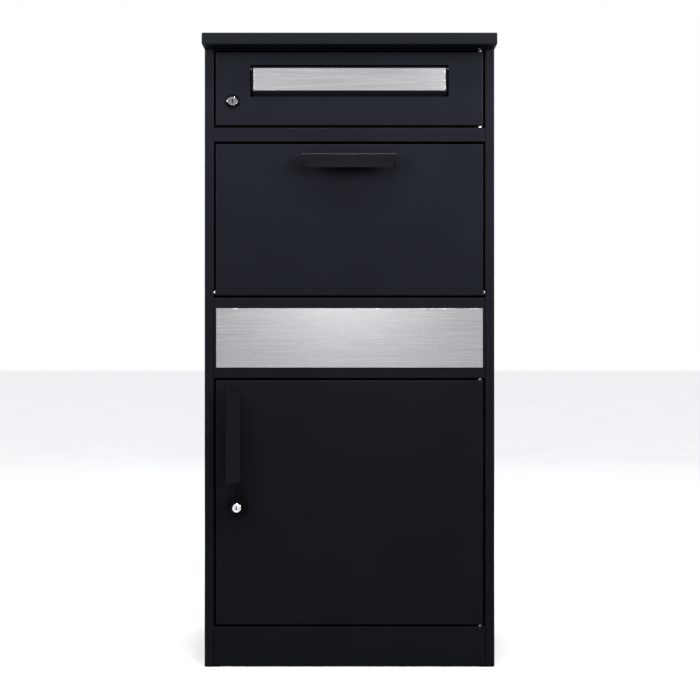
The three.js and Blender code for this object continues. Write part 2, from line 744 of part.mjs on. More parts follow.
// The letter flap, in a frame on its hinge: a face flush with the door, a lip at its bottom
// that leans back for the fingers, a top edge and side walls that hang on the rod.
function letterFlap() {
  const half = SLOT.width / 2 - 2.3;
  const front = -LETTER_AXIS.depth;
  const back = 4.3;
  const top = 2.9;
  const fold = -35.9; // height where the face ends and the lip starts
  const lean = 0.9; // fall of the lip for each millimetre that it runs back
  const lip = (y) => fold - lean * (y - front);
  const wall = SHEET * Math.hypot(1, lean); // the lip's thickness, measured straight up
  const points = (corners) => new THREE.Shape(corners.map(([y, z]) => new THREE.Vector2(y, z)));
  const outer = points([[front, top], [front, fold], [back, lip(back)], [back, top]]);
  const inner = points([
    [front + SHEET, top - SHEET],
    [front + SHEET, lip(front + SHEET) + wall],
    [back + 1, lip(back + 1) + wall],
    [back + 1, top - SHEET],
  ]);
  return cut(
    alongX(outer, [-half, half]),
    alongX(inner, [-half + SHEET, half - SHEET]),
    rodDrill(0, 0),
  );
}

function namePlate() {
  const { width, height, thickness } = NAME_PLATE;
  const back = -LETTER_AXIS.depth - GAP;
  const top = 0.2;
  return block([-width / 2, width / 2], [back - thickness, back], [top - height, top]);
}

// Pieces that sit at the letter flap's hinge, inside the door's own frame.
function letterFlapParts() {
  const group = new THREE.Group();
  group.position.set(0, LETTER_AXIS.depth, slotTop() - LETTER_AXIS.drop);
  group.add(
    piece('letter_flap_rod', letterRod(), STAINLESS),
    piece('letter_flap', letterFlap(), COAT),
    piece('name_plate', namePlate(), STAINLESS),
  );
  return group;
}

function mailLockParts() {
  const group = new THREE.Group();
  group.position.set(MAIL_LOCK.x, 0, MAIL_LOCK.rise);
  group.add(
    piece('mail_lock_body', lockBody(MAIL_COLLAR), BLACK_METAL),
    piece('mail_lock_nut', lockNut(MAIL_COLLAR.barrel), ZINC),
    piece('mail_lock_plug', mailPlug(), CHROME),
    piece('mail_lock_cam', lockCam(MAIL_LOCK.cam), ZINC),
    piece('mail_lock_cam_screw', camScrew(), ZINC),
  );
  return group;
}

function mailDoor() {
  const group = new THREE.Group();
  const { bottom, height } = ROWS.mailDoor;
  group.position.set(0, FRONT, bottom);
  group.add(
    piece('mail_door_panel', mailDoorPanel(), COAT),
    piece('letter_slot_frame', slotFrame(), COAT),
    hingeBush('mail_door_bush_top', [HINGE_X, HINGE_DEPTH, height], [0, 0, 1]),
    hingeBush('mail_door_bush_bottom', [HINGE_X, HINGE_DEPTH, 0], [0, 0, -1]),
    letterFlapParts(),
    mailLockParts(),
  );
  return group;
}

// ---------------------------------------------------------------- parcel hatch

// The hatch is drawn in a frame on its hinge axis: y runs into the cabinet, z runs up.
const FLAP_FACE = -HINGE_DEPTH;
const FLAP_BACK = FLAP_FACE + SHEET + GAP; // where pieces fixed to the back of the skin start

function hatchPanel() {
  const edge = DOOR_WIDTH / 2;
  const handleZ = FLAP_HANDLE_TOP - FLAP_AXIS_Z;
  const blank = pan(DOOR_WIDTH, ROWS.parcelFlap.height, DOOR_DEPTH);
  return cut(
    blank.translate(0, FLAP_FACE, -HINGE_INSET),
    drill('x', BUSH_HOLE, [edge, 0, 0], 5),
    drill('x', BUSH_HOLE, [-edge, 0, 0], 5),
    ...handleHoles(FLAP_FACE, ([x, z]) => [x, handleZ + z]),
  );
}

function polar(radius, degrees) {
  const angle = THREE.MathUtils.degToRad(degrees);
  return [radius * Math.cos(angle), radius * Math.sin(angle)];
}

// From a tab on the hatch, back over the hinge, then down at the angle that the hatch opens by.
function tiltPlate() {
  const tab = FLAP_BACK + SHEET / 2;
  const level = 3;
  const [run, fall] = polar(TILT_PLATE.length, -FLAP_OPEN);
  const end = [TILT_PLATE.start + run, level + fall];
  const [lipRun, lipRise] = polar(TILT_PLATE.lip, 90 - FLAP_OPEN);
  const outline = foldOutline([
    [tab, 40],
    [tab, level],
    [TILT_PLATE.start, level],
    end,
    [end[0] + lipRun, end[1] + lipRise],
  ]);
  return alongX(outline, [-TILT_PLATE.width / 2, TILT_PLATE.width / 2]);
}

// A side of the bucket, with a tab at its rear edge that meets the stop strip when it is open.
function cheek(side) {
  const { x, radius, rear, reach, clear } = CHEEK;
  const [run, fall] = polar(reach, -FLAP_OPEN);
  const shape = new THREE.Shape();
  shape.moveTo(FLAP_BACK, clear);
  shape.lineTo(TILT_PLATE.start + 1, clear);
  shape.lineTo(TILT_PLATE.start + 1 + run, clear + fall);
  shape.lineTo(...polar(radius, rear));
  const arcStart = THREE.MathUtils.degToRad(rear);
  const arcEnd = Math.acos(FLAP_BACK / radius);
  shape.absarc(0, 0, radius, arcStart, arcEnd, false);
  const wall = side > 0 ? [x, x + SHEET] : [-x - SHEET, -x];
  const tabX = side > 0 ? [x, x + CHEEK.tab] : [-x - CHEEK.tab, -x];
  const tab = block(tabX, [radius - 32, radius - 5], [0, SHEET]);
  tab.rotateX(arcStart);
  return join(alongX(shape, wall, 10), tab);
}

function parcelFlap() {
  const group = new THREE.Group();
  group.position.set(0, HINGE_Y, FLAP_AXIS_Z);
  const grip = handle('parcel_flap_handle');
  grip.position.set(0, FLAP_FACE, FLAP_HANDLE_TOP - FLAP_AXIS_Z);
  group.add(
    piece('parcel_flap_panel', hatchPanel(), COAT),
    piece('parcel_tilt_plate', tiltPlate(), COAT),
    piece('parcel_cheek_left', cheek(-1), COAT),
    piece('parcel_cheek_right', cheek(1), COAT),
    hingeBush('parcel_flap_bush_left', [-DOOR_WIDTH / 2, 0, 0], [-1, 0, 0]),
    hingeBush('parcel_flap_bush_right', [DOOR_WIDTH / 2, 0, 0], [1, 0, 0]),
    grip,
  );
  return group;
}

// ---------------------------------------------------------------- lower door

function lowerDoorPanel() {
  const { height } = ROWS.lowerDoor;
  const upright = ([along, across]) => [DOOR_HANDLE.x - across, DOOR_HANDLE.rise + along];
  return cut(
    pan(DOOR_WIDTH, height, DOOR_DEPTH),
    drill('y', DOOR_COLLAR.barrel + GAP, [DOOR_LOCK.x, 0, DOOR_LOCK.rise]),
    drill('z', BUSH_HOLE, [HINGE_X, HINGE_DEPTH, 0], 5),
    drill('z', BUSH_HOLE, [HINGE_X, HINGE_DEPTH, height], 5),
    ...handleHoles(0, upright),
  );
}

// A hat-shaped channel up the back of the door.
function doorStiffener() {
  const back = SHEET + GAP + SHEET / 2;
  const crown = DOOR_DEPTH - 3;
  const { edge, web, inset } = DOOR_CHANNEL;
  const outline = foldOutline([
    [-edge, back],
    [-web, back],
    [-web, crown],
    [web, crown],
    [web, back],
    [edge, back],
  ]);
  return alongZ(outline, [inset, ROWS.lowerDoor.height - inset]);
}

function doorLockParts() {
  const group = new THREE.Group();
  group.position.set(DOOR_LOCK.x, 0, DOOR_LOCK.rise);
  group.add(
    piece('door_lock_body', lockBody(DOOR_COLLAR), BLACK_METAL),
    piece('door_lock_nut', lockNut(DOOR_COLLAR.barrel), ZINC),
    piece('door_lock_knob', wingKnob(), BLACK_METAL),
    piece('door_lock_key_plug', keyPlug(), CHROME),
    piece('door_lock_cam', lockCam(DOOR_LOCK.cam), ZINC),
    piece('door_lock_cam_screw', camScrew(), ZINC),
  );
  return group;
}

function lowerDoor() {
  const group = new THREE.Group();
  const { bottom, height } = ROWS.lowerDoor;
  group.position.set(0, FRONT, bottom);
  const grip = handle('lower_door_handle');
  grip.rotation.y = -Math.PI / 2;
  grip.position.set(DOOR_HANDLE.x, 0, DOOR_HANDLE.rise);
  group.add(
    piece('lower_door_panel', lowerDoorPanel(), COAT),
    piece('lower_door_stiffener', doorStiffener(), COAT),
    hingeBush('lower_door_bush_top', [HINGE_X, HINGE_DEPTH, height], [0, 0, 1]),
    hingeBush('lower_door_bush_bottom', [HINGE_X, HINGE_DEPTH, 0], [0, 0, -1]),
    doorLockParts(),
    grip,
  );
  return group;
}

// ---------------------------------------------------------------- the whole locker

const locker = new THREE.Group();
locker.add(cabinet(), mailDoor(), parcelFlap(), lowerDoor());

export default locker;
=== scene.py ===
"""The finished look of a free-standing parcel locker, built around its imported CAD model.

The locker is folded from 1.2 mm sheet steel with a fine anthracite powder coat. Its sheets are
folded here with real bends and broken edges, its locks are turned and milled, and its two plates
are brushed stainless steel. Metres, +Z up, front towards -Y, the ground at z = 0.
"""

import json
import math

import bmesh
import bpy
from mathutils import Matrix, Vector


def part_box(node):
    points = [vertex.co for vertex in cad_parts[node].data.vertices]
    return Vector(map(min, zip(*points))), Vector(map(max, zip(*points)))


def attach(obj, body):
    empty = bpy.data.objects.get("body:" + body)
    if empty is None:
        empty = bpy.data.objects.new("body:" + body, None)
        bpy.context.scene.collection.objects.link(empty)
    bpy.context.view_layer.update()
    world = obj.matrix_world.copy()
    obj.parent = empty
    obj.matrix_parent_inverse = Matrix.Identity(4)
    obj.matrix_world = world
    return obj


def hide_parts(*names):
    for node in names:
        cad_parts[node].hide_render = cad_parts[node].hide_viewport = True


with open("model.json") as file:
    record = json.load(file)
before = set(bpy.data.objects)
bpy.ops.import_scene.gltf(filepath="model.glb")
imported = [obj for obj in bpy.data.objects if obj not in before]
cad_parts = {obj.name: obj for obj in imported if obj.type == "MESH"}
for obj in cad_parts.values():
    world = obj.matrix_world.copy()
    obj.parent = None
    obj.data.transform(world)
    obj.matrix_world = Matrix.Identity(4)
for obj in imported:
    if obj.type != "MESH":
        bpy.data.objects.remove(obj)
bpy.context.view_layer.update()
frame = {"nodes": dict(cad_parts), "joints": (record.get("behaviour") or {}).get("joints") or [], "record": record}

MM = 0.001
SHEET = 1.2 * MM
HALF_SHEET = SHEET / 2
BEND = 1.9 * MM  # outer radius of a fold
BROKEN_EDGE = 0.2 * MM  # width of the chamfer on a cut edge
NEAR = 0.05 * MM  # two places closer than this are one place

STEPS = 48  # round a turned piece
HOLE_STEPS = 32  # round a drilled hole or a screw's head
SHARP = math.radians(35)  # a turn of the surface beyond this is an edge, and gets broken
CREASE = math.radians(50)  # shading isn't smoothed over a turn beyond this

THROUGH_SHEET = 12 * MM  # length of a drill for one sheet
THROUGH_DOOR = 60 * MM  # length of a drill from the middle of a lock out through its door
HOLE_RADIUS = {
    "bush": 3.2 * MM,
    "pin": 2.2 * MM,
    "stud": 2.8 * MM,
    "flap_rod": 1.6 * MM,
    "mail_lock": 9.3 * MM,
    "door_lock": 9.8 * MM,
    "key_plug": 7 * MM,
    "wall": 4.5 * MM,
}

# The side panel's folds, from its stop strip to its rear flange.
STOP_EDGE = 207.5 * MM
FLANGE = 14.5 * MM
STOP_DEPTH = 18 * MM
REAR_FLANGE = 18 * MM
FOOT = 25 * MM

ROOF_HEM = {"front": 6 * MM, "side": 14 * MM, "rear": 14 * MM}
SLOT_FLANGE = 9 * MM  # of the frame behind the letter slot, round the opening
LIP_FALL = 7.9 * MM  # from the letter flap's face down to the back edge of its lip

BACK_FIELD = {"step": 3 * MM, "depth": 0.9 * MM}  # the field pressed into the back panel
BACK_BORDER = {"outside": 46 * MM, "inside": 47 * MM}
WALL_HOLES = [(x * MM, z * MM) for x in (-150, 150) for z in (120, 900)]
ROOF_SCREWS = [(x * MM, y * MM) for x in (-221, 221) for y in (-100, 140)]

# The bucket's floor: where it starts from the hatch's hinge, and its length and lip.
TILT = {"above": 3 * MM, "behind": 26 * MM, "run": 275 * MM, "lip": 8 * MM}
STIFFENER_CROWN = 18 * MM  # half the width of its raised middle

HANDLE_BASE = 17 * MM
HANDLE_LEAN = {"bend": 1.5 * MM, "free": 7 * MM}  # how far each end of the grip draws in
STUD_REACH = 60 * MM  # from a handle's middle to each of its studs

# Turned profiles: radius and depth behind the door's front, in mm, from the front backwards.
MAIL_COLLAR = [(8.6, -2.5), (10.2, -2.3), (11, -1.4), (11, -0.3)]
DOOR_COLLAR = [
    (12.6, -8),
    (13.8, -7.7),
    (15.2, -6.2),
    (16, -4.2),
    (16, -1.6),
    (15.5, -1.3),
    (15.5, -0.3),
]
LOCK_BORE = 6.4 * MM
MAIL_HEAD = {"half_width": 9 * MM, "half_height": 6.25 * MM, "thickness": 1.5 * MM}
MAIL_HEAD_TILT = math.radians(8)
KNOB_BACK = -8.3 * MM
WING = {"radius": 7 * MM, "sunk": 0.4 * MM, "thickness": 15.6 * MM}
KEY_OFFSET = 0.7 * MM  # of the key slot from the middle of the key plug

UP = Vector((0, 0, 1))
BACKWARD = Vector((0, 1, 0))
RIGHT = Vector((1, 0, 0))


# ---------------------------------------------------------------- working on a mesh


def deselect():
    """Leaves object mode with nothing selected."""
    if bpy.context.object and bpy.context.object.mode != "OBJECT":
        bpy.ops.object.mode_set(mode="OBJECT")
    bpy.ops.object.select_all(action="DESELECT")


def take(piece):
    """Makes a piece the only one selected, and the active one."""
    deselect()
    piece.select_set(True)
    bpy.context.view_layer.objects.active = piece
    return piece


def named(name):
    """Names the object that was just added and puts its place into its mesh."""
    piece = bpy.context.object
    piece.name = name
    piece.data.name = name
    bpy.ops.object.transform_apply(location=True, rotation=True, scale=True)
    return piece


def edit():
    bpy.ops.object.mode_set(mode="EDIT")


def leave():
    bpy.ops.object.mode_set(mode="OBJECT")


def choose(kind, wanted):
    """In edit mode, selects just the vertices, edges or faces that the test wants."""
    bpy.ops.mesh.select_mode(type=kind)
    bpy.ops.mesh.select_all(action="DESELECT")
    data = bpy.context.edit_object.data
    mesh = bmesh.from_edit_mesh(data)
    items = {"VERT": mesh.verts, "EDGE": mesh.edges, "FACE": mesh.faces}[kind]
    for item in items:
        if wanted(item):
            item.select_set(True)
    mesh.select_flush_mode()
    bmesh.update_edit_mesh(data)


def facing(direction):
    return lambda face: face.normal.dot(direction) > 0.99


def middle(edge):
    return (edge.verts[0].co + edge.verts[1].co) / 2


def folded_edge(edge):
    """Tells a line where the surface turns from the rim of a sheet."""
    return edge.is_manifold and edge.calc_face_angle() > SHARP


def move_corner(place, step):
    """In edit mode, moves the vertices at one place."""
    choose("VERT", lambda vertex: (vertex.co - place).length < NEAR)
    bpy.ops.transform.translate(value=step)


def modify(piece, kind, **settings):
    """Adds a modifier to a piece and applies it."""
    take(piece)
    modifier = piece.modifiers.new(kind, kind)
    for key, value in settings.items():
        setattr(modifier, key, value)
    bpy.ops.object.modifier_apply(modifier=modifier.name)


def block(name, low, high):
    """A cube that fills the space between two corners, left in edit mode."""
    deselect()
    low, high = Vector(low), Vector(high)
    bpy.ops.mesh.primitive_cube_add(size=1, location=(low + high) / 2, scale=high - low)
    piece = named(name)
    edit()
    return piece


def extrude(step):
    bpy.ops.mesh.extrude_region_move(TRANSFORM_OT_translate={"value": step})


def wire(name, points):
    """A chain of edges through the points, left in edit mode.

    A small plane is merged to one corner, and the corner is extruded on from point to point.
    """
    deselect()
    bpy.ops.mesh.primitive_plane_add(size=SHEET, location=points[0])
    piece = named(name)
    edit()
    bpy.ops.mesh.select_mode(type="VERT")
    bpy.ops.mesh.select_all(action="SELECT")
    bpy.ops.mesh.merge(type="CENTER")
    for here, there in zip(points, points[1:]):
        extrude(Vector(there) - Vector(here))
    return piece


def outward():
    """Merges doubles, then turns every face outwards."""
    bpy.ops.mesh.select_all(action="SELECT")
    bpy.ops.mesh.remove_doubles(threshold=NEAR / 10)
    bpy.ops.mesh.normals_make_consistent(inside=False)


def plate(name, outline, thickness):
    """A flat outline made solid along one step, left in edit mode."""
    piece = wire(name, outline)
    bpy.ops.mesh.select_all(action="SELECT")
    bpy.ops.mesh.edge_face_add()
    extrude(thickness)
    outward()
    return piece


def in_mm(profile):
    return [(radius * MM, depth * MM) for radius, depth in profile]


def turned(name, centre, profile):
    """A piece turned about a line along Y through the centre, from (radius, depth) points."""
    points = [centre + Vector((radius, depth, 0)) for radius, depth in profile]
    piece = wire(name, points)
    bpy.ops.mesh.select_all(action="SELECT")
    bpy.ops.mesh.spin(steps=STEPS, angle=2 * math.pi, center=centre, axis=BACKWARD)
    outward()
    leave()
    return piece


def combine(piece, tool, operation):
    """Joins a tool to a piece, or cuts it away, and removes the tool."""
    modify(piece, "BOOLEAN", object=tool, operation=operation, solver="EXACT")
    bpy.data.objects.remove(tool)
    return piece


def drill(piece, hole, place, length, axis=BACKWARD):
    """Drills one kind of hole through a piece, about a point, along an axis."""
    deselect()
    turn = UP.rotation_difference(axis).to_euler()
    bpy.ops.mesh.primitive_cylinder_add(
        vertices=HOLE_STEPS,
        radius=HOLE_RADIUS[hole],
        depth=length,
        location=place,
        rotation=turn,
    )
    combine(piece, named("drill"), "DIFFERENCE")


def drill_at(piece, hole, nodes, axis):
    """Drills a sheet for the pins or bushes that these nodes are."""
    for node in nodes:
        drill(piece, hole, middle_of(node), THROUGH_SHEET, axis)


def drill_studs(piece, strip, along):
    """Drills a sheet for the two studs that hold a handle."""
    for side in (-1, 1):
        drill(piece, "stud", middle_of(strip) + side * STUD_REACH * along, THROUGH_SHEET)


def middle_of(node):
    low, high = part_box(node)
    return (low + high) / 2


# ---------------------------------------------------------------- finishing a piece


def round_edges(piece, width, segments):
    """Rounds the edges of a piece."""
    modify(
        piece,
        "BEVEL",
        width=width,
        segments=segments,
        limit_method="ANGLE",
        angle_limit=SHARP,
        use_clamp_overlap=True,
    )


def smooth(piece, width=BROKEN_EDGE):
    """Breaks the sharp edges of a piece, and shades it smooth between the lines that are left."""
    round_edges(piece, width, segments=2)
    bpy.ops.object.shade_smooth_by_angle(angle=CREASE)
    modify(piece, "WEIGHTED_NORMAL", keep_sharp=True)
    return piece


def fit(piece, body, slot, *nodes, finish=None):
    """Hands a finished piece to its body and hides the nodes that it stands for.

    It gets its slot's finish, unless another is named.
    """
    deselect()
    piece.data.materials.clear()
    piece.data.materials.append(FINISHES[finish or slot])
    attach(piece, body)
    if nodes:
        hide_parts(*nodes)
    return piece


def solid_sheet(piece, inward=True):
    """Gives a folded surface the thickness of the sheet, inwards or to both sides."""
    offset = -1 if inward else 0
    modify(piece, "SOLIDIFY", thickness=SHEET, offset=offset, use_even_offset=True)
    return piece


def bend_folds(radius=BEND):
    """In edit mode, rounds the folds of a surface."""
    choose("EDGE", folded_edge)
    bpy.ops.mesh.bevel(offset=radius, segments=5, profile=0.5, affect="EDGES")


def drawn_out(name, path, run):
    """A surface drawn out along one step from a path of points, left in edit mode."""
    piece = wire(name, path)
    bpy.ops.mesh.select_all(action="SELECT")
    extrude(run)
    outward()
    return piece


def folded_strip(name, path, run):
    """A sheet folded along a path of points down its middle, and drawn out along one step."""
    piece = drawn_out(name, path, run)
    bend_folds(BEND - HALF_SHEET)
    return solid_sheet(piece, inward=False)


# ---------------------------------------------------------------- finishes


class Finish:
    """A node material under construction: a principled shader and short ways to feed it."""

    def __init__(self, name):
        self.material = bpy.data.materials.new(name)
        self.material.use_nodes = True
        self.nodes = self.material.node_tree.nodes
        self.links = self.material.node_tree.links
        self.shader = self.nodes["Principled BSDF"]
        self.place = self.add("ShaderNodeTexCoord").outputs["Object"]

    def add(self, kind, **settings):
        node = self.nodes.new(kind)
        for key, value in settings.items():
            setattr(node, key, value)
        return node

    def feed(self, output, socket):
        self.links.new(output, socket)

    def surface(self, **outputs):
        """Feeds the shader's own sockets, with _ for each space in a socket's name."""
        for key, output in outputs.items():
            self.feed(output, self.shader.inputs[key.replace("_", " ")])

    def set(self, **values):
        """Sets the shader's own sockets, with _ for each space in a socket's name."""
        for key, value in values.items():
            self.shader.inputs[key.replace("_", " ")].default_value = value

    def stretched(self, scale):
        mapping = self.add("ShaderNodeMapping")
        mapping.inputs["Scale"].default_value = scale
        self.feed(self.place, mapping.inputs["Vector"])
        return mapping.outputs["Vector"]

    def noise(self, scale, detail=2.0, vector=None):
        """Soft noise, with its scale in features to the metre."""
        node = self.add("ShaderNodeTexNoise")
        node.inputs["Scale"].default_value = scale
        node.inputs["Detail"].default_value = detail
        self.feed(vector or self.place, node.inputs["Vector"])
        return node.outputs["Fac"]

    def spread(self, source, low, high, start=0.3, end=0.7):
        """Maps a pattern's middle range on to a range of values."""
        node = self.add("ShaderNodeMapRange")
        for key, value in zip(
            ("From Min", "From Max", "To Min", "To Max"), (start, end, low, high)
        ):
            node.inputs[key].default_value = value
        self.feed(source, node.inputs["Value"])
        return node.outputs["Result"]

    def tint(self, source, first, second, start=0.3, end=0.7):
        """Colours a pattern from one colour to another."""
        ramp = self.add("ShaderNodeValToRGB")
        ends = ramp.color_ramp.elements
        ends[0].position, ends[1].position = start, end
        ends[0].color = (*first, 1)
        ends[1].color = (*second, 1)
        self.feed(source, ramp.inputs["Fac"])
        return ramp.outputs["Color"]

    def upward(self):
        """How far the surface faces up, from -1 to 1."""
        node = self.add("ShaderNodeSeparateXYZ")
        self.feed(self.add("ShaderNodeNewGeometry").outputs["Normal"], node.inputs["Vector"])
        return node.outputs["Z"]

    def calculate(self, operation, first, second):
        node = self.add("ShaderNodeMath", operation=operation)
        self.feed(first, node.inputs[0])
        self.feed(second, node.inputs[1])
        return node.outputs["Value"]

    def blend(self, share, first, second):
        mix = self.add("ShaderNodeMix", data_type="RGBA")
        self.feed(share, mix.inputs["Factor"])
        self.feed(first, mix.inputs["A"])
        self.feed(second, mix.inputs["B"])
        return mix.outputs["Result"]

    def bump(self, source, strength, distance, under=None):
        node = self.add("ShaderNodeBump")
        node.inputs["Strength"].default_value = strength
        node.inputs["Distance"].default_value = distance
        self.feed(source, node.inputs["Height"])
        if under:
            self.feed(under, node.inputs["Normal"])
        return node.outputs["Normal"]


def powder_coat(name, shades, gloss, roughness):
    """Powder coat: a fine orange peel, a trace of cloudiness, and dust that dulls what faces up."""
    coat = Finish(name)
    coat.set(Metallic=0.0, Specular_IOR_Level=gloss)
    clouds = coat.noise(9, 3)
    upward = coat.upward()
    paint = coat.tint(clouds, *shades)
    dusty = coat.tint(clouds, (0.030, 0.031, 0.033), (0.036, 0.037, 0.039))
    settled = coat.spread(upward, 0.0, 1.0, 0.5, 1.0)
    flecks = coat.spread(coat.noise(240, 6), 0.0, 0.12, 0.35, 0.8)
    dust = coat.calculate("MULTIPLY", settled, flecks)
    coat.surface(Base_Color=coat.blend(dust, paint, dusty))
    texture = coat.spread(coat.noise(900, 3), *roughness)
    dull = coat.spread(upward, 0.0, 0.94, 0.8, 1.0)
    coat.surface(Roughness=coat.calculate("MAXIMUM", texture, dull))
    peel = coat.bump(coat.noise(260, 2), 0.12, 0.25 * MM)
    coat.surface(Normal=coat.bump(coat.noise(1400, 3), 0.2, 0.1 * MM, peel))
    return coat.material


def brushed(name, light, dark, scale, roughness):
    """Metal brushed in long strokes. The scale is the strokes' frequency along X, Y and Z."""
    metal = Finish(name)
    metal.set(Metallic=1.0, Anisotropic=0.5)
    strokes = metal.noise(1, 4, metal.stretched(scale))
    around = metal.add("ShaderNodeTangent", direction_type="RADIAL", axis="Z")
    metal.surface(
        Base_Color=metal.tint(strokes, dark, light),
        Roughness=metal.spread(strokes, *roughness),
        Normal=metal.bump(strokes, 0.35, 0.05 * MM),
        Tangent=around.outputs["Tangent"],
    )
    return metal.material


def zinc_steel():
    """Zinc plating: pale, faintly blue, in soft patches with fine scratches."""
    zinc = Finish("zinc_steel")
    zinc.set(Metallic=1.0)
    zinc.surface(
        Base_Color=zinc.tint(zinc.noise(140, 5), (0.33, 0.35, 0.37), (0.50, 0.51, 0.52)),
        Roughness=zinc.spread(zinc.noise(400, 4), 0.30, 0.48),
        Normal=zinc.bump(zinc.noise(900, 3), 0.15, 0.05 * MM),
    )
    return zinc.material


def chrome():
    """Polished chrome with the hairlines that keys leave."""
    plating = Finish("chrome")
    plating.set(Metallic=1.0)
    hairlines = plating.noise(1, 3, plating.stretched((900, 900, 3500)))
    plating.surface(
        Base_Color=plating.tint(hairlines, (0.74, 0.75, 0.77), (0.86, 0.87, 0.88)),
        Roughness=plating.spread(hairlines, 0.08, 0.2),
        Normal=plating.bump(hairlines, 0.1, 0.02 * MM),
    )
    return plating.material


def black_metal():
    """Smooth black lacquer over a zinc casting."""
    lacquer = Finish("black_metal")
    lacquer.set(Metallic=0.0, Specular_IOR_Level=0.03)
    flow = lacquer.noise(220, 3)
    lacquer.surface(
        Base_Color=lacquer.tint(flow, (0.0008, 0.0009, 0.0012), (0.0013, 0.0014, 0.0018)),
        Roughness=lacquer.spread(flow, 0.25, 0.38),
        Normal=lacquer.bump(lacquer.noise(500, 2), 0.12, 0.05 * MM),
    )
    return lacquer.material


def moulded(name, light, dark, roughness, grain):
    """A moulded material: nylon or rubber, with a soft mottle and a matt grain."""
    compound = Finish(name)
    compound.set(Metallic=0.0)
    mottle = compound.noise(300, 4)
    compound.surface(
        Base_Color=compound.tint(mottle, dark, light),
        Roughness=compound.spread(mottle, *roughness),
        Normal=compound.bump(compound.noise(grain, 3), 0.3, 0.08 * MM),
    )
    return compound.material


FINISHES = {
    "coated_sheet": powder_coat(
        "coated_sheet",
        ((0.0026, 0.0032, 0.0046), (0.0033, 0.0040, 0.0056)),
        gloss=0.03,
        roughness=(0.46, 0.54),
    ),
    "handle_coat": powder_coat(
        "handle_coat",
        ((0.0012, 0.0015, 0.0023), (0.0016, 0.0019, 0.0028)),
        gloss=0.12,
        roughness=(0.22, 0.28),
    ),
    "stainless": brushed(
        "stainless", (0.62, 0.63, 0.64), (0.52, 0.53, 0.54), (7, 300, 2200), (0.22, 0.28)
    ),
    "zinc_steel": zinc_steel(),
    "chrome": chrome(),
    "black_metal": black_metal(),
    "nylon": moulded("nylon", (0.026, 0.026, 0.028), (0.018, 0.018, 0.020), (0.45, 0.6), 700),
    "rubber": moulded("rubber", (0.014, 0.014, 0.015), (0.008, 0.008, 0.009), (0.75, 0.9), 1500),
}


# ---------------------------------------------------------------- sheets of the front


def pan(node, folded_ends=True):
    """The folded front sheet of a door, or of a fixed panel with no folds at its ends."""
    low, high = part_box(node)
    piece = block(f"{node}_sheet", low, high)
    open_sides = [BACKWARD] if folded_ends else [BACKWARD, RIGHT, -RIGHT]
    choose("FACE", lambda face: any(facing(side)(face) for side in open_sides))
    bpy.ops.mesh.delete(type="FACE")
    bend_folds()
    return piece


def cut_opening(direction, low, high, axes):
    """In edit mode, opens a rectangle between two corners in the faces that face a direction."""
    for place in (low, high):
        for axis in axes:
            choose("FACE", facing(direction))
            bpy.ops.mesh.bisect(plane_co=place, plane_no=axis)

    def inside(face):
        centre = face.calc_center_median()
        return facing(direction)(face) and all(
            low.dot(axis) < centre.dot(axis) < high.dot(axis) for axis in axes
        )

    choose("FACE", inside)
    bpy.ops.mesh.delete(type="FACE")


def mail_door():
    sheet = pan("mail_door_panel")
    low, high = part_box("letter_slot_frame")
    border = Vector((SLOT_FLANGE, 0, SLOT_FLANGE))
    cut_opening(-BACKWARD, low + border, high - border, (RIGHT, UP))
    solid_sheet(sheet)
    drill(sheet, "mail_lock", middle_of("mail_lock_body"), THROUGH_DOOR)
    drill_at(sheet, "bush", ["mail_door_bush_top", "mail_door_bush_bottom"], UP)
    fit(smooth(sheet), "mail_door", "coated_sheet", "mail_door_panel")


def parcel_hatch():
    sheet = solid_sheet(pan("parcel_flap_panel"))
    drill_at(sheet, "bush", ["parcel_flap_bush_left", "parcel_flap_bush_right"], RIGHT)
    drill_studs(sheet, "parcel_flap_handle_strip", RIGHT)
    fit(smooth(sheet), "parcel_flap", "coated_sheet", "parcel_flap_panel")


def lower_door():
    sheet = solid_sheet(pan("lower_door_panel"))
    drill(sheet, "door_lock", middle_of("door_lock_body"), THROUGH_DOOR)
    drill_at(sheet, "bush", ["lower_door_bush_top", "lower_door_bush_bottom"], UP)
    drill_studs(sheet, "lower_door_handle_strip", UP)
    fit(smooth(sheet), "lower_door", "coated_sheet", "lower_door_panel")


def fixed_panels():
    """The plinth, the middle panel and the upper rail, each drilled for one hinge pin."""
    pins = {
        "plinth_panel": "lower_door_pin_bottom",
        "middle_panel": "lower_door_pin_top",
        "upper_rail": "mail_door_pin_bottom",
    }
    for node, pin in pins.items():
        sheet = solid_sheet(pan(node, folded_ends=False))
        drill_at(sheet, "pin", [pin], UP)
        fit(smooth(sheet), "cabinet", "coated_sheet", node)


def letter_flap():
    """The flap's face with its top edge, its side walls and the lip that leans back."""
    low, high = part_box("letter_flap")
    bottom = low.z + LIP_FALL
    sheet = block("letter_flap_sheet", low + LIP_FALL * UP, high)
    choose("VERT", lambda vertex: vertex.co.y > high.y - NEAR and vertex.co.z < bottom + NEAR)
    bpy.ops.transform.translate(value=-LIP_FALL * UP)
    choose("FACE", facing(BACKWARD))
    bpy.ops.mesh.delete(type="FACE")
    bend_folds(1.4 * MM)
    solid_sheet(sheet)
    drill(sheet, "flap_rod", middle_of("letter_flap_rod"), 340 * MM, RIGHT)
    fit(smooth(sheet, width=0.15 * MM), "letter_flap", "coated_sheet", "letter_flap")


# ---------------------------------------------------------------- sheets of the cabinet


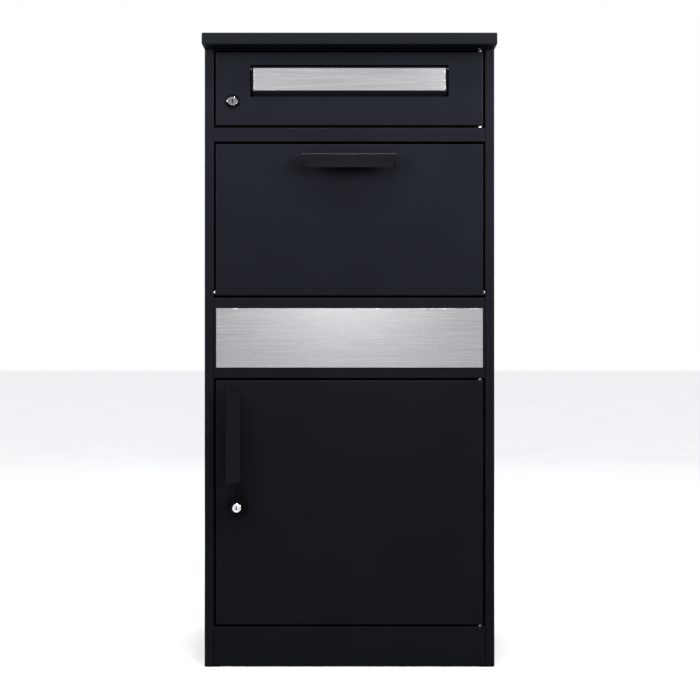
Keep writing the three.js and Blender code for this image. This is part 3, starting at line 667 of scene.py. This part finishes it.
def side_plan(low, high):
    """Seen from above, the places of a right-hand side panel's folds and of its two rims."""
    outer = max(abs(low.x), abs(high.x))
    front, rear = low.y + HALF_SHEET, high.y - HALF_SHEET
    strip = low.y + STOP_DEPTH + HALF_SHEET
    return_x = outer - FLANGE + HALF_SHEET
    wall_x = outer - HALF_SHEET
    return [
        (STOP_EDGE, strip),
        (return_x, strip),
        (return_x, front),
        (wall_x, front),
        (wall_x, rear),
        (outer - REAR_FLANGE, rear),
    ]


def side_panel(hand, side):
    """Stop strip, return, front flange, wall, rear flange and foot, folded from one sheet."""
    node = f"side_panel_{hand}"
    low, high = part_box(node)
    plan = side_plan(low, high)
    wall_x = max(x for x, y in plan)
    bottom = low.z + HALF_SHEET
    path = [(side * x, y, bottom) for x, y in plan]
    sheet = drawn_out(f"{node}_sheet", path, (high.z - bottom) * UP)
    bend_folds(BEND - HALF_SHEET)

    def wall_foot(edge):
        centre = middle(edge)
        across = abs(edge.verts[0].co.y - edge.verts[1].co.y)
        return centre.z < bottom + NEAR and across > FOOT and abs(centre.x) > wall_x - NEAR

    choose("EDGE", wall_foot)
    extrude(-side * (FOOT - HALF_SHEET) * RIGHT)
    outward()
    solid_sheet(sheet, inward=False)
    drill_at(sheet, "pin", [f"parcel_flap_pin_{hand}"], RIGHT)
    fit(smooth(sheet), "cabinet", "coated_sheet", node)


def roof():
    """A shallow lid, its edges folded down and then inwards to narrow hems."""
    low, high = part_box("roof_lid")
    lid = block("roof_lid_sheet", low, high)
    inner_low = low + Vector((SHEET + ROOF_HEM["side"], SHEET + ROOF_HEM["front"], 0))
    inner_high = high - Vector((SHEET + ROOF_HEM["side"], SHEET + ROOF_HEM["rear"], 0))
    cut_opening(-UP, inner_low, inner_high, (RIGHT, BACKWARD))
    bend_folds(2.2 * MM)
    solid_sheet(lid)
    fit(smooth(lid), "cabinet", "coated_sheet", "roof_lid")


def roof_stiffener():
    """A channel across the roof, open to the front."""
    low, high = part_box("roof_stiffener")
    web = high.y - HALF_SHEET
    top, bottom = high.z - HALF_SHEET, low.z + HALF_SHEET
    path = [(low.x, low.y, top), (low.x, web, top), (low.x, web, bottom), (low.x, low.y, bottom)]
    channel = folded_strip("roof_stiffener_sheet", path, (high.x - low.x) * RIGHT)
    fit(smooth(channel), "cabinet", "coated_sheet", "roof_stiffener")


def back_panel():
    """The back sheet, with a wide shallow field pressed in to stiffen it, and its wall holes."""
    low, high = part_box("back_panel")
    sheet = block("back_panel_sheet", low, high)
    for side, direction, inward in (("outside", BACKWARD, -1), ("inside", -BACKWARD, 1)):
        choose("FACE", facing(direction))
        bpy.ops.mesh.inset(thickness=BACK_BORDER[side], use_even_offset=True)
        depth = inward * BACK_FIELD["depth"]
        bpy.ops.mesh.inset(thickness=BACK_FIELD["step"], depth=depth, use_even_offset=True)
    for x, z in WALL_HOLES:
        drill(sheet, "wall", (x, high.y, z), THROUGH_SHEET)
    fit(smooth(sheet), "cabinet", "coated_sheet", "back_panel")


# ---------------------------------------------------------------- bucket and stiffener


def tilt_plate():
    """The bucket's floor, from its tab on the hatch back over the hinge and down to its lip."""
    low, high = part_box("parcel_tilt_plate")
    hinge = next(joint for joint in frame["joints"] if joint["name"] == "parcel_flap_hinge")
    axis = Vector(hinge["pos_m"])
    slope = math.radians(max(hinge["range_deg"]))
    fall, reach = math.sin(slope), math.cos(slope)
    tab = low.y + HALF_SHEET
    level = axis.z + TILT["above"]
    start = axis.y + TILT["behind"]
    end = Vector((low.x, start + TILT["run"] * reach, level - TILT["run"] * fall))
    lip = end + TILT["lip"] * Vector((0, fall, reach))
    path = [(low.x, tab, high.z), (low.x, tab, level), (low.x, start, level), end, lip]
    sheet = folded_strip("parcel_tilt_plate_sheet", path, (high.x - low.x) * RIGHT)
    fit(smooth(sheet), "parcel_flap", "coated_sheet", "parcel_tilt_plate")


def door_stiffener():
    """A channel of hat section up the back of the lower door."""
    low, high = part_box("lower_door_stiffener")
    flange, crown = low.y + HALF_SHEET, high.y - HALF_SHEET
    plan = [
        (low.x, flange),
        (-STIFFENER_CROWN, flange),
        (-STIFFENER_CROWN, crown),
        (STIFFENER_CROWN, crown),
        (STIFFENER_CROWN, flange),
        (high.x, flange),
    ]
    path = [(x, y, low.z) for x, y in plan]
    channel = folded_strip("lower_door_stiffener_sheet", path, (high.z - low.z) * UP)
    fit(smooth(channel), "lower_door", "coated_sheet", "lower_door_stiffener")


# ---------------------------------------------------------------- handles


def handle(node, body, along, across):
    """A grip folded to a C, its ends drawn in towards the free edge of its face.

    along is its long way, and across points from its web to its free edge.
    """
    low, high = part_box(node)
    centre, size = (low + high) / 2, high - low
    half_length = abs(size.dot(along)) / 2
    half_width = abs(size.dot(across)) / 2
    base, face = high.y - HALF_SHEET, low.y + HALF_SHEET

    def corner(depth, reach):
        flat = centre + (reach - half_width) * across - half_length * along
        return Vector((flat.x, depth, flat.z))

    bend, free = corner(face, HALF_SHEET), corner(face, 2 * half_width)
    path = [corner(base, HANDLE_BASE), corner(base, HALF_SHEET), bend, free]
    piece = drawn_out(f"{node}_sheet", path, 2 * half_length * along)
    for side in (-1, 1):
        for name, place in (("bend", bend), ("free", free)):
            end = place + (side + 1) * half_length * along
            move_corner(end, -side * HANDLE_LEAN[name] * along)
    bend_folds(1.5 * MM)
    solid_sheet(piece, inward=False)
    fit(smooth(piece), body, "coated_sheet", node, finish="handle_coat")


# ---------------------------------------------------------------- locks


def lock_centre(node):
    """Where a lock's axis meets the front of its door."""
    centre = middle_of(node)
    return Vector((centre.x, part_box("mail_door_panel")[0].y, centre.z))


def thread(radius, start, end, pitch=1.2 * MM, depth=0.5 * MM):
    """Profile of a threaded barrel: a row of shallow grooves, and a chamfer at the end."""
    points = []
    for turn in range(int((end - start) / pitch)):
        points.append((radius, start + (turn + 0.15) * pitch))
        points.append((radius - depth, start + (turn + 0.55) * pitch))
    return [*points, (radius, end - 0.3 * MM), (radius - 0.4 * MM, end)]


def lock_body(node, body, collar, radius):
    """A collar in front of the door and a threaded barrel behind it, bored right through."""
    low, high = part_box(node)
    centre = lock_centre(node)
    front, back = low.y - centre.y, high.y - centre.y
    seat = collar[-1][1]
    profile = [
        (LOCK_BORE, back),
        (LOCK_BORE, front),
        *collar,
        (radius, seat),
        *thread(radius, 1.5 * MM, back),
        (LOCK_BORE, back),
    ]
    piece = turned(f"{node}_turned", centre, profile)
    fit(smooth(piece, width=0.12 * MM), body, "black_metal", node)


def key_slot(centre, front, width=1.7 * MM, height=6.2 * MM, depth=4 * MM):
    """The tool that cuts a key slot into a plug's face: a slit with a step at one end."""
    clear = 1 * MM
    low = centre + Vector((-width / 2, front - clear, -height / 2))
    high = centre + Vector((width / 2, front + depth, height / 2))
    slit = block("key_slot", low, high)
    leave()
    step = block("key_step", low, high - Vector((-width / 2, 0, height * 0.62)))
    leave()
    return combine(slit, step, "UNION")


def wards_painting_slot_shade(name, body, centre, front, width=1.5 * MM, height=5.8 * MM):
    """Wards just inside a key slot, their black a painted shade that stands in for the slot's dark depth."""
    low = centre + Vector((-width / 2, front + 0.7 * MM, -height / 2))
    high = centre + Vector((width / 2, front + 3.5 * MM, height / 2))
    wards = block(name, low, high)
    choose("FACE", facing(-BACKWARD))
    bpy.ops.mesh.inset(thickness=0.2 * MM, depth=-0.3 * MM)
    leave()
    # The black finish here is painted shade: it stands in for the shade deep in the key slot.
    fit(smooth(wards, width=0.05 * MM), body, "black_metal")


def shaft(centre, front, back, radius=6 * MM):
    """The shaft that runs back through a lock's barrel."""
    return turned("shaft", centre, [(0, front), (radius, front), (radius, back), (0, back)])


def lens(half_width, half_height, steps=14):
    """Outline of a lens shape: two shallow arcs that meet at its ends."""
    bulge = (half_width**2 + half_height**2) / (2 * half_height)
    reach = math.asin(half_width / bulge)
    arc = [reach * (2 * step / steps - 1) for step in range(steps)]
    upper = [(bulge * math.sin(a), bulge * math.cos(a) - bulge + half_height) for a in arc]
    return [*upper, *[(-x, -z) for x, z in upper]]


def rounded_bar(radius, bottom, top, steps=12):
    """Outline of an upright bar with round ends."""
    half_turn = [math.pi * step / steps for step in range(steps + 1)]
    curve = [(radius * math.cos(a), radius * math.sin(a)) for a in half_turn]
    upper = [(x, top - radius + z) for x, z in curve]
    lower = [(-x, bottom + radius - z) for x, z in curve]
    return [*upper, *lower]


def mail_lock_plug():
    """A lens-shaped head on the plug's shaft, with the key slot down its middle."""
    low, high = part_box("mail_lock_plug")
    centre = lock_centre("mail_lock_plug")
    front = low.y - centre.y
    tilt = Matrix.Rotation(MAIL_HEAD_TILT, 3, "Y")
    shape = lens(MAIL_HEAD["half_width"], MAIL_HEAD["half_height"])
    outline = [centre + tilt @ Vector((x, front, z)) for x, z in shape]
    head = plate("mail_lock_plug_milled", outline, MAIL_HEAD["thickness"] * BACKWARD)
    round_edges(head, 0.45 * MM, segments=3)
    combine(head, shaft(centre, front + 0.8 * MM, high.y - centre.y), "UNION")
    combine(head, key_slot(centre, front), "DIFFERENCE")
    fit(smooth(head, width=0.08 * MM), "mail_lock", "chrome", "mail_lock_plug")
    # Black wards in the mail lock's key slot, as painted shade for the slot's depth.
    wards_painting_slot_shade("mail_lock_wards_slot_shade", "mail_lock", centre, front)


def knob_boss(centre, front):
    """The round boss of the door's knob, with a foot that turns on the collar."""
    profile = [
        (0, front),
        (9.2 * MM, front),
        (10.5 * MM, front + 1.4 * MM),
        (10.5 * MM, -11 * MM),
        (11.4 * MM, -10 * MM),
        (11.4 * MM, KNOB_BACK),
        (0, KNOB_BACK),
    ]
    return turned("door_lock_knob_turned", centre, profile)


def door_knob():
    """A wing across a round boss, bored for the key plug."""
    low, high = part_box("door_lock_knob")
    centre = lock_centre("door_lock_body")
    front = low.y - centre.y
    boss = knob_boss(centre, front)
    depth = centre.y + front + WING["sunk"]
    shape = rounded_bar(WING["radius"], low.z, high.z)
    outline = [Vector((centre.x + x, depth, z)) for x, z in shape]
    wing = plate("door_lock_knob_wing", outline, WING["thickness"] * BACKWARD)
    round_edges(wing, 2.2 * MM, segments=4)
    combine(boss, wing, "UNION")
    combine(boss, shaft(centre, KNOB_BACK - 1 * MM, high.y - centre.y), "UNION")
    drill(boss, "key_plug", centre + front * BACKWARD, 24 * MM)
    fit(smooth(boss, width=0.15 * MM), "door_knob", "black_metal", "door_lock_knob")


def key_plug():
    """The bright disc in the knob, with a rim, a sunk face and the key slot."""
    low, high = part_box("door_lock_key_plug")
    centre = lock_centre("door_lock_key_plug")
    front, back = low.y - centre.y, high.y - centre.y
    profile = [
        (0, front + 0.35 * MM),
        (4.9 * MM, front + 0.35 * MM),
        (5.2 * MM, front),
        (6.0 * MM, front),
        (6.6 * MM, front + 0.5 * MM),
        (6.6 * MM, back),
        (0, back),
    ]
    plug = turned("door_lock_key_plug_turned", centre, profile)
    slot_centre = centre - KEY_OFFSET * RIGHT
    combine(plug, key_slot(slot_centre, front), "DIFFERENCE")
    fit(smooth(plug, width=0.08 * MM), "door_key", "chrome", "door_lock_key_plug")
    # Black wards in the knob's key slot, as painted shade for the slot's depth.
    wards_painting_slot_shade("door_lock_wards_slot_shade", "door_key", slot_centre, front)


# ---------------------------------------------------------------- what keeps its CAD shape


def softened(node, body, slot):
    """A copy of a CAD solid with its sharp edges broken."""
    piece = bpy.data.objects.new(f"{node}_finished", frame["nodes"][node].data.copy())
    bpy.context.scene.collection.objects.link(piece)
    take(piece)
    bpy.ops.mesh.customdata_custom_splitnormals_clear()
    edit()
    outward()
    bpy.ops.mesh.dissolve_limited(angle_limit=math.radians(0.5))
    leave()
    fit(smooth(piece, width=0.15 * MM), body, slot, node)


def remaining_nodes():
    """Finishes every CAD node that no new piece stands for, in the shape it has."""
    record = frame["record"]
    slots = {part["node"]: part["material_slot"] for part in record["subparts"]}
    for body, nodes in record["behaviour"]["bodies"].items():
        for node in nodes:
            if not frame["nodes"][node].hide_render:
                softened(node, body, slots[node])


# ---------------------------------------------------------------- small fixings


def cross_screw(name, place, direction, radius):
    """A pan-head screw with a cross recess. The direction is the way its head faces."""
    deselect()
    bpy.ops.mesh.primitive_cylinder_add(vertices=HOLE_STEPS, radius=radius, depth=radius * 0.7)
    head = named(name)
    edit()
    choose("FACE", facing(UP))
    bpy.ops.mesh.inset(thickness=radius * 0.25, depth=0)
    bpy.ops.transform.translate(value=radius * 0.15 * UP)
    leave()
    above = 1.1 * radius * UP
    arm, half_slot = 0.55 * radius, 0.13 * radius
    for x, y in ((arm, half_slot), (half_slot, arm)):
        reach = Vector((x, y, radius))
        bar = block("recess", above - reach, above + reach)
        leave()
        combine(head, bar, "DIFFERENCE")
    turn = UP.rotation_difference(direction).to_matrix().to_4x4()
    head.data.transform(Matrix.Translation(place) @ turn)
    return smooth(head, width=0.1 * MM)


def roof_screws():
    """Four screws up through the top sheet into the hems of the roof."""
    under_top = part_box("cabinet_top")[1].z - SHEET - 1.4 * MM
    for number, (x, y) in enumerate(ROOF_SCREWS, 1):
        screw = cross_screw(f"roof_screw_{number}", Vector((x, y, under_top)), -UP, 3.6 * MM)
        fit(screw, "cabinet", "zinc_steel")


# ---------------------------------------------------------------- stage


def floor():
    """A wide floor of pale matt paper."""
    deselect()
    bpy.ops.mesh.primitive_plane_add(size=60, location=(0, 0, 0))
    sheet = named("floor")
    paper = Finish("floor_paper")
    paper.set(Roughness=0.9)
    paper.surface(Base_Color=paper.tint(paper.noise(3, 2), (0.90,) * 3, (0.93,) * 3))
    sheet.data.materials.append(paper.material)


def room_light(nodes, links):
    """The room's own light: dim at the level of the floor, and brighter with height."""
    height = nodes.new("ShaderNodeSeparateXYZ")
    links.new(nodes.new("ShaderNodeTexCoord").outputs["Generated"], height.inputs["Vector"])
    rise = nodes.new("ShaderNodeMapRange")
    rise.interpolation_type = "SMOOTHSTEP"
    for key, value in {"From Min": 0, "From Max": 0.9, "To Min": 0.1, "To Max": 1.3}.items():
        rise.inputs[key].default_value = value
    links.new(height.outputs["Z"], rise.inputs["Value"])
    room = nodes.new("ShaderNodeBackground")
    room.inputs["Color"].default_value = (0.96, 0.98, 1, 1)
    links.new(rise.outputs["Result"], room.inputs["Strength"])
    return room.outputs["Background"]


def surround():
    """A plain white backdrop, in a room that lights the locker from above."""
    world = bpy.data.worlds.new("studio")
    bpy.context.scene.world = world
    world.use_nodes = True
    nodes, links = world.node_tree.nodes, world.node_tree.links
    backdrop = nodes["Background"]
    backdrop.inputs["Color"].default_value = (1, 1, 1, 1)
    seen = nodes.new("ShaderNodeLightPath").outputs["Is Camera Ray"]
    mix = nodes.new("ShaderNodeMixShader")
    links.new(seen, mix.inputs["Fac"])
    links.new(room_light(nodes, links), mix.inputs[1])
    links.new(backdrop.outputs["Background"], mix.inputs[2])
    links.new(mix.outputs["Shader"], nodes["World Output"].inputs["Surface"])


def soft_light(name, place, target, size, power, spread=180):
    """A rectangular area light, its power in watts and its spread in degrees."""
    light = bpy.data.lights.new(name, "AREA")
    light.spread = math.radians(spread)
    light.shape = "RECTANGLE"
    light.size, light.size_y = size
    light.energy = power
    lamp = bpy.data.objects.new(name, light)
    bpy.context.scene.collection.objects.link(lamp)
    lamp.location = place
    lamp.rotation_euler = (Vector(target) - Vector(place)).to_track_quat("-Z", "Y").to_euler()


def studio():
    """A plain pale floor, a white surround, and soft light from above, both sides and behind."""
    floor()
    surround()
    soft_light("front_left_light", (-1.15, -1.0, 1.25), (-0.1, 0, 1.08), (0.8, 0.8), 10, 70)
    soft_light("front_right_light", (1.15, -1.0, 1.25), (0.1, 0, 1.08), (0.8, 0.8), 14, 70)
    soft_light("front_card", (-0.02, -2.8, 0.85), (-0.02, 0, 0.65), (0.3, 0.6), 1.9)
    soft_light("top_light", (0, -0.75, 2.2), (0, -0.15, 0.8), (0.9, 0.12), 10, 90)
    soft_light("right_light", (2.6, -1.2, 1.6), (0, 0, 0.6), (1.2, 2.0), 5)
    soft_light("back_light", (0.4, 2.6, 2.3), (0, 0, 0.6), (2.4, 1.4), 12)


def camera():
    """A long lens straight on to the front, at half the locker's height."""
    lens_data = bpy.data.cameras.new("camera")
    lens_data.lens = 68.03
    lens_data.sensor_width = 36
    eye = bpy.data.objects.new("camera", lens_data)
    bpy.context.scene.collection.objects.link(eye)
    eye.location = (0.0008, -2.253, 0.5033)
    eye.rotation_euler = (math.pi / 2, 0, 0)
    bpy.context.scene.camera = eye
    bpy.context.scene.view_settings.view_transform = "Standard"


# ---------------------------------------------------------------- the whole locker

camera()
studio()

mail_door()
letter_flap()
parcel_hatch()
lower_door()
fixed_panels()

side_panel("left", -1)
side_panel("right", 1)
roof()
roof_stiffener()
back_panel()

tilt_plate()
door_stiffener()
handle("parcel_flap_handle", "parcel_flap", RIGHT, -UP)
handle("lower_door_handle", "lower_door", UP, RIGHT)

lock_body("mail_lock_body", "mail_door", in_mm(MAIL_COLLAR), 9 * MM)
mail_lock_plug()
lock_body("door_lock_body", "lower_door", in_mm(DOOR_COLLAR), 9.5 * MM)
door_knob()
key_plug()

remaining_nodes()
roof_screws()
